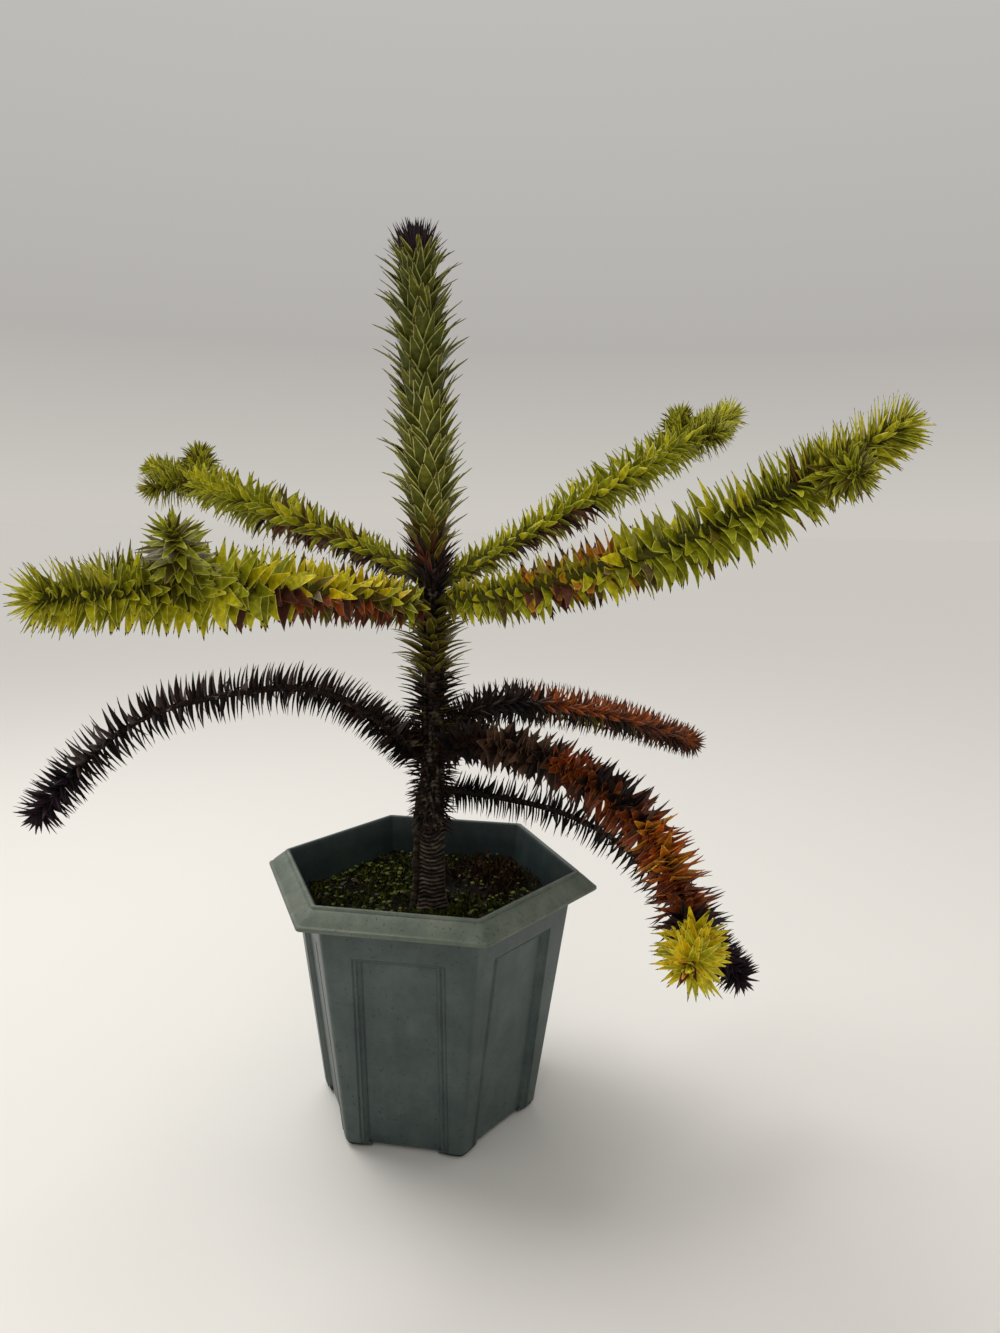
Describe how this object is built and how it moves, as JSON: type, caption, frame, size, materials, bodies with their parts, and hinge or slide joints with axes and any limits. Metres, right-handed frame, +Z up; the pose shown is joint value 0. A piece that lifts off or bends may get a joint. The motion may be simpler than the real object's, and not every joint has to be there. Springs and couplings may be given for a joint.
{
  "type": "potted monkey puzzle tree",
  "caption": "Young monkey puzzle tree with a spiny leafy leader and tiers of leafy arms, the lower ones dying back, growing in a hexagonal plastic garden pot.",
  "frame": {"origin": "on the pot's axis, on the ground under the pot's feet; the pot's flat underside lies 7 mm above it", "axes": "+Z up along the pot's axis; flats of the pot face -Y and +Y and corners lie on -X and +X; the picture looks along +Y, turned a little to the left"},
  "size_m": [1.0573, 0.876, 1.1767],
  "materials": {
    "pot": "satin",
    "soil": "matte",
    "trunk_bark": "matte",
    "bough_bark": "matte",
    "leader_leaf": "matte",
    "trunk_leaf": "matte",
    "collar_husk": "matte",
    "skirt_husk": "matte",
    "yellow_leaf": "matte",
    "olive_leaf": "matte",
    "green_leaf": "matte",
    "black_leaf": "matte",
    "brown_leaf": "matte",
    "rust_leaf": "matte",
    "faded_leaf": "matte",
    "orange_leaf": "matte"
  },
  "bodies": {
    "root": {"pot": "pot", "soil": "soil", "trunk": "trunk_bark", "bough_upper_left_front": "bough_bark", "bough_upper_left_back": "bough_bark", "bough_upper_right_back": "bough_bark", "bough_upper_right_front": "bough_bark", "bough_lower_right_back": "bough_bark", "bough_lower_right_front": "bough_bark", "bough_lower_right_low": "bough_bark", "bough_lower_left": "bough_bark", "leaves_inner_upper_left_front": "yellow_leaf", "leaves_inner_upper_left_back": "olive_leaf", "leaves_inner_upper_right_back": "olive_leaf", "leaves_inner_upper_right_front": "olive_leaf", "leaves_inner_lower_right_back": "brown_leaf", "leaves_inner_lower_right_front": "faded_leaf", "leaves_inner_lower_right_low": "black_leaf", "leaves_inner_lower_left": "brown_leaf", "leaves_outer_upper_left_front": "green_leaf", "leaves_outer_upper_left_back": "green_leaf", "leaves_outer_upper_right_back": "green_leaf", "leaves_outer_upper_right_front": "green_leaf", "leaves_outer_lower_right_back": "rust_leaf", "leaves_outer_lower_right_front": "orange_leaf", "leaves_outer_lower_right_low": "black_leaf", "leaves_outer_lower_left": "brown_leaf", "trunk_skirt_leaves": "skirt_husk", "trunk_middle_leaves": "trunk_leaf", "trunk_collar_leaves": "collar_husk", "leader_leaves": "leader_leaf"}
  },
  "joints": []
}
